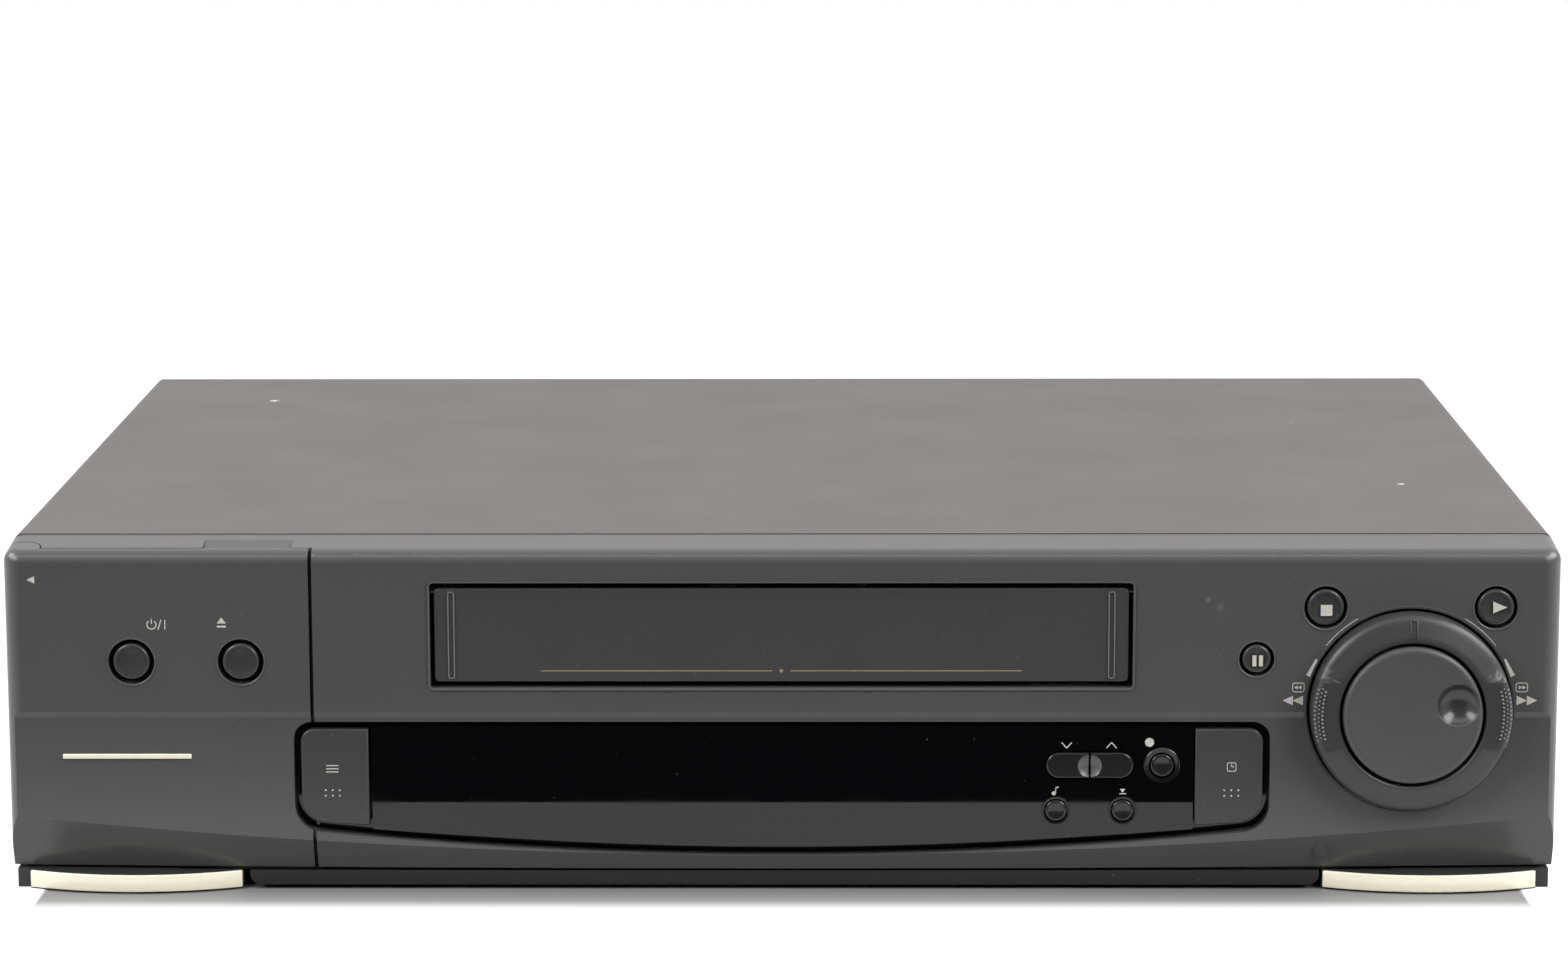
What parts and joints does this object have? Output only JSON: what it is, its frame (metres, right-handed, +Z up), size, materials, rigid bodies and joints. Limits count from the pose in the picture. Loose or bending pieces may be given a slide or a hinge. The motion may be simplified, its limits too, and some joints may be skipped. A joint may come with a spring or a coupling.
{
  "type": "video cassette recorder",
  "caption": "Front-loading video cassette recorder with a cassette flap, display window, jog and shuttle dial, swing-out front socket door and a full tape deck inside.",
  "frame": {"origin": "centre of the bounding box at floor level, under the feet", "axes": "+X to the right seen from the front, +Y to the rear, +Z up; the front faces -Y"},
  "size_m": [0.43, 0.318, 0.0985],
  "materials": {
    "cover_paint": "satin baked enamel with a fine grain",
    "bezel_plastic": "charcoal moulded plastic, fine spark texture",
    "key_plastic": "satin black plastic",
    "window_plastic": "smoked gloss acrylic",
    "foot_plastic": "black moulded plastic",
    "foot_rubber": "black rubber",
    "gold_trim": "champagne anodised",
    "zinc_steel": "zinc-plated sheet",
    "screw_black": "black oxide",
    "drum_metal": "diamond-turned",
    "shaft_steel": "ground",
    "roller_rubber": "black rubber",
    "white_plastic": "natural acetal",
    "board": "phenolic circuit board",
    "component_black": "moulded epoxy",
    "tube_glass": "display tube glass",
    "socket_black": "moulded socket",
    "socket_metal": "nickel-plated"
  },
  "bodies": {
    "chassis": {"base_pan": "zinc_steel", "board_parts": "component_black", "capstan_bearing": "drum_metal", "carriage_frame": "zinc_steel", "control_head": "drum_metal", "cover_screws": "screw_black", "deck_plate": "zinc_steel", "deck_screws": "zinc_steel", "display_tube": "tube_glass", "display_window": "window_plastic", "drum_lower": "drum_metal", "erase_head": "drum_metal", "foot_trims": "gold_trim", "front_bezel": "bezel_plastic", "front_board": "board", "front_feet": "foot_plastic", "front_jacks": "socket_metal", "front_plinth": "foot_plastic", "jog_encoder": "component_black", "loading_motor": "socket_metal", "main_board": "board", "mains_inlet": "socket_black", "power_board": "board", "power_parts": "component_black", "rear_feet": "foot_rubber", "rear_jacks": "socket_metal", "rear_panel": "cover_paint", "rf_sockets": "socket_metal", "scart_sockets": "socket_black", "tact_switches": "component_black", "top_cover": "cover_paint", "tuner_can": "zinc_steel"},
    "av_door": {"av_door": "bezel_plastic"},
    "cassette_flap": {"cassette_flap": "bezel_plastic"},
    "carriage_slider": {"carriage_slider": "zinc_steel"},
    "cassette_holder": {"cassette_holder": "zinc_steel"},
    "shuttle_ring": {"shuttle_ring": "key_plastic"},
    "jog_dial": {"jog_dial": "key_plastic"},
    "drum_upper": {"drum_upper": "drum_metal"},
    "capstan": {"capstan": "shaft_steel"},
    "pinch_arm": {"pinch_arm": "shaft_steel"},
    "pinch_roller": {"pinch_roller": "roller_rubber"},
    "supply_reel": {"supply_reel": "white_plastic"},
    "takeup_reel": {"takeup_reel": "white_plastic"},
    "supply_pole": {"supply_pole": "shaft_steel"},
    "takeup_pole": {"takeup_pole": "shaft_steel"},
    "tension_arm": {"tension_arm": "shaft_steel"},
    "cam_gear": {"cam_gear": "white_plastic"},
    "key_audio_dub": {"key_audio_dub": "key_plastic"},
    "key_channel_down": {"key_channel_down": "key_plastic"},
    "key_channel_up": {"key_channel_up": "key_plastic"},
    "key_eject": {"key_eject": "key_plastic"},
    "key_insert": {"key_insert": "key_plastic"},
    "key_menu": {"key_menu": "key_plastic"},
    "key_pause": {"key_pause": "key_plastic"},
    "key_play": {"key_play": "key_plastic"},
    "key_power": {"key_power": "key_plastic"},
    "key_rec": {"key_rec": "key_plastic"},
    "key_stop": {"key_stop": "key_plastic"},
    "key_timer": {"key_timer": "key_plastic"}
  },
  "joints": [
    {"name": "av_door_hinge", "type": "hinge", "parent": "chassis", "child": "av_door", "pos_m": [-0.21, -0.145, 0.04925], "axis": [0, 0, -1], "range_deg": [0, 100]},
    {"name": "cassette_flap_hinge", "type": "hinge", "parent": "chassis", "child": "cassette_flap", "pos_m": [0, -0.1475, 0.08545], "axis": [1, 0, 0], "range_deg": [0, 88], "stiffness_Nm_per_rad": 0.01},
    {"name": "carriage_slide", "type": "slide", "parent": "chassis", "child": "carriage_slider", "axis": [0, 1, 0], "range_m": [0, 0.066]},
    {"name": "holder_drop", "type": "slide", "parent": "carriage_slider", "child": "cassette_holder", "axis": [0, 0, -1], "range_m": [0, 0.02]},
    {"name": "key_audio_dub_press", "type": "slide", "parent": "chassis", "child": "key_audio_dub", "axis": [0, 1, 0], "range_m": [0, 0.0012], "stiffness_N_per_m": 400},
    {"name": "key_channel_down_press", "type": "slide", "parent": "chassis", "child": "key_channel_down", "axis": [0, 1, 0], "range_m": [0, 0.0012], "stiffness_N_per_m": 400},
    {"name": "key_channel_up_press", "type": "slide", "parent": "chassis", "child": "key_channel_up", "axis": [0, 1, 0], "range_m": [0, 0.0012], "stiffness_N_per_m": 400},
    {"name": "key_eject_press", "type": "slide", "parent": "chassis", "child": "key_eject", "axis": [0, 1, 0], "range_m": [0, 0.0012], "stiffness_N_per_m": 400},
    {"name": "key_insert_press", "type": "slide", "parent": "chassis", "child": "key_insert", "axis": [0, 1, 0], "range_m": [0, 0.0012], "stiffness_N_per_m": 400},
    {"name": "key_menu_press", "type": "slide", "parent": "chassis", "child": "key_menu", "axis": [0, 1, 0], "range_m": [0, 0.0012], "stiffness_N_per_m": 400},
    {"name": "key_pause_press", "type": "slide", "parent": "chassis", "child": "key_pause", "axis": [0, 1, 0], "range_m": [0, 0.0012], "stiffness_N_per_m": 400},
    {"name": "key_play_press", "type": "slide", "parent": "chassis", "child": "key_play", "axis": [0, 1, 0], "range_m": [0, 0.0012], "stiffness_N_per_m": 400},
    {"name": "key_power_press", "type": "slide", "parent": "chassis", "child": "key_power", "axis": [0, 1, 0], "range_m": [0, 0.0012], "stiffness_N_per_m": 400},
    {"name": "key_rec_press", "type": "slide", "parent": "chassis", "child": "key_rec", "axis": [0, 1, 0], "range_m": [0, 0.0012], "stiffness_N_per_m": 400},
    {"name": "key_stop_press", "type": "slide", "parent": "chassis", "child": "key_stop", "axis": [0, 1, 0], "range_m": [0, 0.0012], "stiffness_N_per_m": 400},
    {"name": "key_timer_press", "type": "slide", "parent": "chassis", "child": "key_timer", "axis": [0, 1, 0], "range_m": [0, 0.0012], "stiffness_N_per_m": 400},
    {"name": "shuttle_ring_turn", "type": "hinge", "parent": "chassis", "child": "shuttle_ring", "pos_m": [0.1736, -0.15, 0.0522], "axis": [0, 1, 0], "range_deg": [-80, 80], "stiffness_Nm_per_rad": 0.02},
    {"name": "jog_dial_turn", "type": "hinge", "parent": "chassis", "child": "jog_dial", "pos_m": [0.1736, -0.15, 0.0522], "axis": [0, 1, 0], "continuous": true},
    {"name": "head_drum_spin", "type": "hinge", "parent": "chassis", "child": "drum_upper", "pos_m": [0, 0.062, 0.0203], "axis": [0.104, 0, 0.9946], "continuous": true},
    {"name": "capstan_spin", "type": "hinge", "parent": "chassis", "child": "capstan", "pos_m": [0.044, 0.028, 0.0293], "axis": [0, 0, 1], "continuous": true},
    {"name": "pinch_arm_swing", "type": "hinge", "parent": "chassis", "child": "pinch_arm", "pos_m": [0.076, 0.034, 0.0293], "axis": [0, 0, -1], "range_deg": [0, 34]},
    {"name": "pinch_roller_spin", "type": "hinge", "parent": "pinch_arm", "child": "pinch_roller", "pos_m": [0.06216, 0.01346, 0.0493], "axis": [0, 0, 1], "continuous": true},
    {"name": "supply_reel_spin", "type": "hinge", "parent": "chassis", "child": "supply_reel", "pos_m": [-0.046, -0.048, 0.0293], "axis": [0, 0, 1], "continuous": true},
    {"name": "takeup_reel_spin", "type": "hinge", "parent": "chassis", "child": "takeup_reel", "pos_m": [0.046, -0.048, 0.0293], "axis": [0, 0, 1], "continuous": true},
    {"name": "loading_cam_turn", "type": "hinge", "parent": "chassis", "child": "cam_gear", "pos_m": [-0.072, 0.062, 0.0293], "axis": [0, 0, 1], "range_deg": [0, 270]},
    {"name": "supply_pole_travel", "type": "slide", "parent": "chassis", "child": "supply_pole", "axis": [-0.2169, 0.9762, 0], "range_m": [0, 0.03688]},
    {"name": "takeup_pole_travel", "type": "slide", "parent": "chassis", "child": "takeup_pole", "axis": [0.2169, 0.9762, 0], "range_m": [0, 0.03688]},
    {"name": "tension_arm_swing", "type": "hinge", "parent": "chassis", "child": "tension_arm", "pos_m": [-0.082, 0.028, 0.0293], "axis": [0, 0, 1], "range_deg": [0, 35]}
  ],
  "couplings": [
    {"joint": "takeup_pole_travel", "follows": "supply_pole_travel", "ratio": 1},
    {"joint": "loading_cam_turn", "follows": "supply_pole_travel", "rad_per_m": 127.78}
  ]
}
